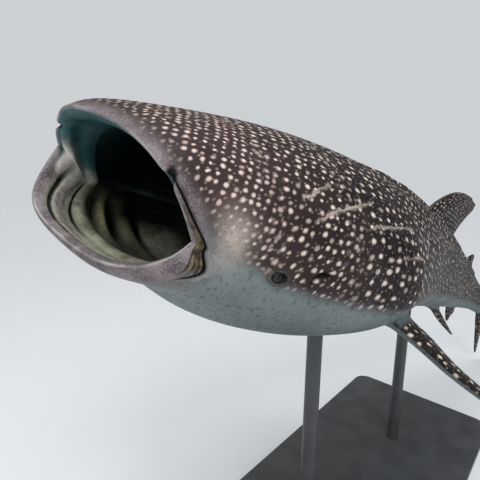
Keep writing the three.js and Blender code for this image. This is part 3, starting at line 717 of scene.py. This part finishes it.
# the belly: white in life, here darkened to grey and tinted blue-green as painted shade, finely mottled
belly = hide.shades(cloud, 0.3, 0.7, (0.095, 0.122, 0.127, 1), (0.175, 0.205, 0.205, 1))
belly = hide.mix(hide.times(hide.step(grain, 0.52, 0.7), 0.6), belly, (0.035, 0.05, 0.055, 1))

# the cream patch beside the mouth, speckled, and the amber of the fold at its corner
speckled = hide.shades(fine, 0.60, 0.68, (0.46, 0.39, 0.35, 1), (0.07, 0.058, 0.055, 1))
amber = hide.shades(grain, 0.4, 0.6, (0.045, 0.034, 0.022, 1), (0.17, 0.128, 0.082, 1))
colour = hide.mix(pale_at, back_colour, belly)
colour = hide.mix(face_at, colour, lilac)
colour = hide.mix(hide.times(cream_at, hide.step(blotch, 0.2, 0.6, 0.45, 0.95)), colour, speckled)
colour = hide.mix(golden, colour, amber)

# the mouth's lining: a blue-green roof over an olive floor that pales towards the pads as painted light,
# threaded cheeks, pads with yellow edges brightened as painted light, black painted shade in the grooves
# between them, and a throat painted near black as shade
roof = hide.shades(blotch, 0.35, 0.65, (0.025, 0.085, 0.10, 1), (0.055, 0.14, 0.15, 1))
olive = hide.shades(blotch, 0.3, 0.7, (0.13, 0.13, 0.095, 1), (0.40, 0.41, 0.30, 1))
painted_lit_olive = hide.shades(blotch, 0.35, 0.65, (0.36, 0.38, 0.26, 1), (0.80, 0.84, 0.62, 1))
# the floor pales towards the pads as painted light
lining = hide.mix(low_at, roof, hide.shades(ring_at, 2.5, 1.7, olive, painted_lit_olive))
cheek = hide.shades(grain, 0.35, 0.7, (0.22, 0.21, 0.19, 1), (0.52, 0.49, 0.45, 1))
lining = hide.mix(hide.times(flank_at, hide.line(ring_at, 5.3, 0.75)), lining, cheek)
threads = hide.step(hide.math("SINE", hide.times(ring_at, 42.0)), 0.1, 1.0)
threads = hide.times(threads, hide.line(ring_at, 5.2, 0.7), flank_at, 0.75)
lining = hide.mix(threads, lining, (0.05, 0.048, 0.042, 1))
wet_light = hide.shades(blotch, 0.35, 0.65, (0.42, 0.40, 0.35, 1), (0.75, 0.72, 0.66, 1))
lining = hide.mix(bright_at, lining, wet_light)
# the yellow edges of the pads on their ridges, brightened well past their own colour as painted light
crescent = hide.most(hide.line(ring_at, 2.92, 0.2), hide.times(hide.line(ring_at, 2.3, 0.22), 0.6))
pad_edge_and_light = hide.shades(grain, 0.4, 0.6, (0.70, 0.67, 0.30, 1), (1.0, 0.96, 0.60, 1))
lining = hide.mix(hide.times(padded_at, crescent), lining, pad_edge_and_light)
# painted shade: near black in the grooves between the pads, along the cheek folds and behind the lower lip
pad_groove_shade = hide.most(hide.line(ring_at, 3.22, 0.18), hide.line(ring_at, 2.62, 0.16),
                     hide.line(ring_at, 2.0, 0.12))
cheek_groove_shade = hide.most(hide.line(ring_at, 4.6, 0.12), hide.times(hide.line(ring_at, 3.62, 0.06), 0.8))
groove_shade = hide.most(hide.times(padded_at, pad_groove_shade), hide.times(flank_at, cheek_groove_shade),
                 hide.times(low_at, hide.line(ring_at, 6.0, 0.2)))
lining = hide.mix(groove_shade, lining, (0.006, 0.007, 0.007, 1))
pads = hide.math("SINE", hide.times(hide.math("ADD", left_at, hide.times(blotch, 6.0)), 0.9))
pads = hide.times(hide.step(pads, 0.0, 1.0), hide.step(row_at, 2.8, 1.9))
# painted shade: deep in the mouth the lining gives way to near black, with the pads faintly showing
lining = hide.mix(depth_shade_at, hide.mix(pads, (0.003, 0.004, 0.004, 1), (0.012, 0.013, 0.011, 1)), lining)
colour = hide.mix(inside_at, colour, lining)

# the grey lids, and painted shade in every hole, slit, crease and furrow and round the eye's opening
lids = hide.step(eye_near, 2.3, 1.2)
lid_rim_shade = hide.most(hide.line(eye_near, 0.95, 0.34), hide.times(hide.line(eye_near, 1.7, 0.16), 0.4))
colour = hide.mix(hide.times(lids, 0.75), colour, (0.055, 0.048, 0.047, 1))
# painted shade in the gill slits, the furrow, the creases, the spiracle, the nostrils and at the rims of the
# lids
recess_shade = hide.most(slits_at, furrow, lid_rim_shade, hide.times(creases, 0.8), hide.step(spiracle_near, 0.17, 0.06),
                 hide.step(nostril_near, 1.4, 0.7))
colour = hide.mix(recess_shade, colour, (0.006, 0.006, 0.007, 1))

# the denticles make the hide rough and matt
rough = hide.math("ADD", hide.times(grain, 0.5), hide.times(fine, 0.25))
rough = hide.math("ADD", hide.times(blotch, 1.4), rough)
bump = hide.add("ShaderNodeBump", {"Height": rough, "Strength": 0.45, "Distance": 0.005})
hide.tree.links.new(colour, shader.inputs["Base Color"])
hide.tree.links.new(hide.step(grain, 0.3, 0.7, 0.42, 0.6), shader.inputs["Roughness"])
hide.tree.links.new(bump.outputs[0], shader.inputs["Normal"])
shader.inputs["Specular IOR Level"].default_value = 0.12
skin.data.materials.append(hide_matter)
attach(skin, "root")
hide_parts("head", "lower_jaw", "gill_band", "torso_front", "torso_rear", "tail_stock",
            "pectoral_fin_left", "pectoral_fin_right", "pelvic_fin_left", "pelvic_fin_right",
            "first_dorsal_fin", "second_dorsal_fin", "anal_fin", "tail_fin_lower_lobe", "tail_fin_upper_lobe")

# Eyes
# Each eye is a small ball in its socket behind the corner of the mouth, with a dark grey-brown iris round a
# wide pupil. It is wet and glossy, and the lids of the hide cover its edge.
EYE_RADIUS = 0.0235
# how squarely a point faces out, where the dark rim gives way to the iris and the iris to the pupil
IRIS_EDGE = (0.50, 0.62)
PUPIL_EDGE = (0.84, 0.90)
eye_matter = bpy.data.materials.new("wet_eye")
eye_matter.use_nodes = True
wet = Nodes(eye_matter.node_tree)
gloss = eye_matter.node_tree.nodes["Principled BSDF"]
gloss.inputs["Roughness"].default_value = 0.18
gloss.inputs["Specular IOR Level"].default_value = 0.2
facing_out = wet.add("ShaderNodeAttribute", attribute_name="iris").outputs["Fac"]
eye_colour = wet.shades(facing_out, *PUPIL_EDGE, (0.03, 0.026, 0.024, 1), (0.002, 0.002, 0.003, 1))
eye_colour = wet.shades(facing_out, *IRIS_EDGE, (0.015, 0.013, 0.013, 1), eye_colour)
wet.tree.links.new(eye_colour, gloss.inputs["Base Color"])
for name, way in (("left", -1), ("right", 1)):
    centre = np.mean(np.array(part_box("eye_" + name)), 0)
    bpy.ops.object.select_all(action="DESELECT")
    bpy.ops.mesh.primitive_uv_sphere_add(segments=48, ring_count=32, radius=EYE_RADIUS, location=centre)
    ball = bpy.context.object
    ball.name = "eyeball_" + name
    bpy.ops.object.transform_apply(location=True, rotation=True, scale=True)
    bpy.ops.object.shade_smooth()
    look = posed([EYE_AT[0], way * 9.0, EYE_AT[2]]) - posed([EYE_AT[0], way * 8.0, EYE_AT[2]])
    look /= np.linalg.norm(look)
    iris = ball.data.attributes.new("iris", "FLOAT", "POINT")
    facing = [float((np.array(v.co) - centre) @ look / EYE_RADIUS) for v in ball.data.vertices]
    iris.data.foreach_set("value", facing)
    ball.data.materials.append(eye_matter)
    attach(ball, "root")
    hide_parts("eye_" + name)

# Stand
# A flat steel base and two upright steel rods carry the fish. The rods are fixed to the base, and their tops
# are cut to the belly. All of it is sprayed satin dark grey, and the solids are used as they are.
paint_matter = bpy.data.materials.new("satin_paint")
paint_matter.use_nodes = True
paint = Nodes(paint_matter.node_tree)
coat = paint_matter.node_tree.nodes["Principled BSDF"]
paint_place = paint.add("ShaderNodeTexCoord").outputs["Object"]
orange_peel = paint.noise(paint_place, 140.0, 2.0)
worn = paint.noise(paint_place, 5.0, 4.0)
peel = paint.add("ShaderNodeBump", {"Height": orange_peel, "Strength": 0.08, "Distance": 0.002})
greys = paint.shades(worn, 0.3, 0.7, (0.045, 0.048, 0.052, 1), (0.062, 0.066, 0.071, 1))
paint.tree.links.new(greys, coat.inputs["Base Color"])
paint.tree.links.new(paint.step(worn, 0.3, 0.7, 0.36, 0.5), coat.inputs["Roughness"])
paint.tree.links.new(peel.outputs[0], coat.inputs["Normal"])
for node in ("stand_base", "stand_rod_front", "stand_rod_rear"):
    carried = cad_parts[node]
    carried.data.materials.clear()
    carried.data.materials.append(paint_matter)

# Studio
# A pale floor and a plain backdrop of the same grey, with soft light from above and from the front left. The
# camera looks from just off the left of the snout, as the photograph does.
bpy.ops.mesh.primitive_circle_add(vertices=96, radius=60, fill_type="NGON", location=(0, 0, -0.0005))
floor = bpy.context.object
floor.name = "studio_floor"
floor_matter = bpy.data.materials.new("pale_floor")
floor_matter.use_nodes = True
floor_paint = floor_matter.node_tree.nodes["Principled BSDF"]
floor_paint.inputs["Base Color"].default_value = (0.80, 0.82, 0.84, 1)
floor_paint.inputs["Roughness"].default_value = 0.9
floor.data.materials.append(floor_matter)

world = bpy.data.worlds.new("studio")
bpy.context.scene.world = world
world.use_nodes = True
sky = world.node_tree
sky_light = sky.nodes["Background"]
sky_light.inputs[0].default_value = (0.80, 0.83, 0.86, 1)
sky_light.inputs[1].default_value = 0.30
backdrop = sky.nodes.new("ShaderNodeBackground")
backdrop.inputs[0].default_value = (0.612, 0.632, 0.653, 1)
seen = sky.nodes.new("ShaderNodeLightPath")
chosen = sky.nodes.new("ShaderNodeMixShader")
sky.links.new(seen.outputs["Is Camera Ray"], chosen.inputs[0])
sky.links.new(sky_light.outputs[0], chosen.inputs[1])
sky.links.new(backdrop.outputs[0], chosen.inputs[2])
sky.links.new(chosen.outputs[0], sky.nodes["World Output"].inputs[0])

# name, kind, place, aim, size in metres or spread of the sun, power
LIGHTS = [
    ("key", "AREA", (-2.8, -3.0, 6.2), (-1.2, 0.0, 2.3), 3.0, 190),
    ("top", "SUN", (0.5, 0.8, 8.0), (0.3, 0.5, 2.0), math.radians(50), 1.7),
    ("fill", "AREA", (-6.5, -2.2, 4.2), (-1.2, 0.0, 2.2), 2.5, 80),
]
for name, kind, place, aim, wide, power in LIGHTS:
    lamp = bpy.data.lights.new(name, kind)
    setattr(lamp, "size" if kind == "AREA" else "angle", wide)
    lamp.energy = power
    holder = bpy.data.objects.new(name, lamp)
    holder.location = place
    holder.rotation_euler = (Vector(aim) - Vector(place)).to_track_quat("-Z", "Y").to_euler()
    bpy.context.scene.collection.objects.link(holder)

# the camera's place and directions on the straight fish, and its focal length in pixels of a square picture
FOCAL_PIXELS = 385
PICTURE_PIXELS = 480
VIEW_FROM = posed([-8.2, -17.7, 1.9])
forward = Vector(TURN @ np.array([0.754, 0.641, -0.140])).normalized()
rightward = Vector(TURN @ np.array([0.646, -0.686, 0.335]))
upward = rightward.cross(forward).normalized()
rightward = forward.cross(upward).normalized()
lens = bpy.data.cameras.new("camera")
lens.sensor_width = 36
lens.lens = FOCAL_PIXELS / PICTURE_PIXELS * lens.sensor_width
lens.clip_end = 200
camera = bpy.data.objects.new("camera", lens)
camera.matrix_world = Matrix((
    (rightward.x, upward.x, -forward.x, VIEW_FROM[0]), (rightward.y, upward.y, -forward.y, VIEW_FROM[1]),
    (rightward.z, upward.z, -forward.z, VIEW_FROM[2]), (0, 0, 0, 1)))
bpy.context.scene.collection.objects.link(camera)
bpy.context.scene.camera = camera
bpy.context.scene.view_settings.view_transform = "Standard"
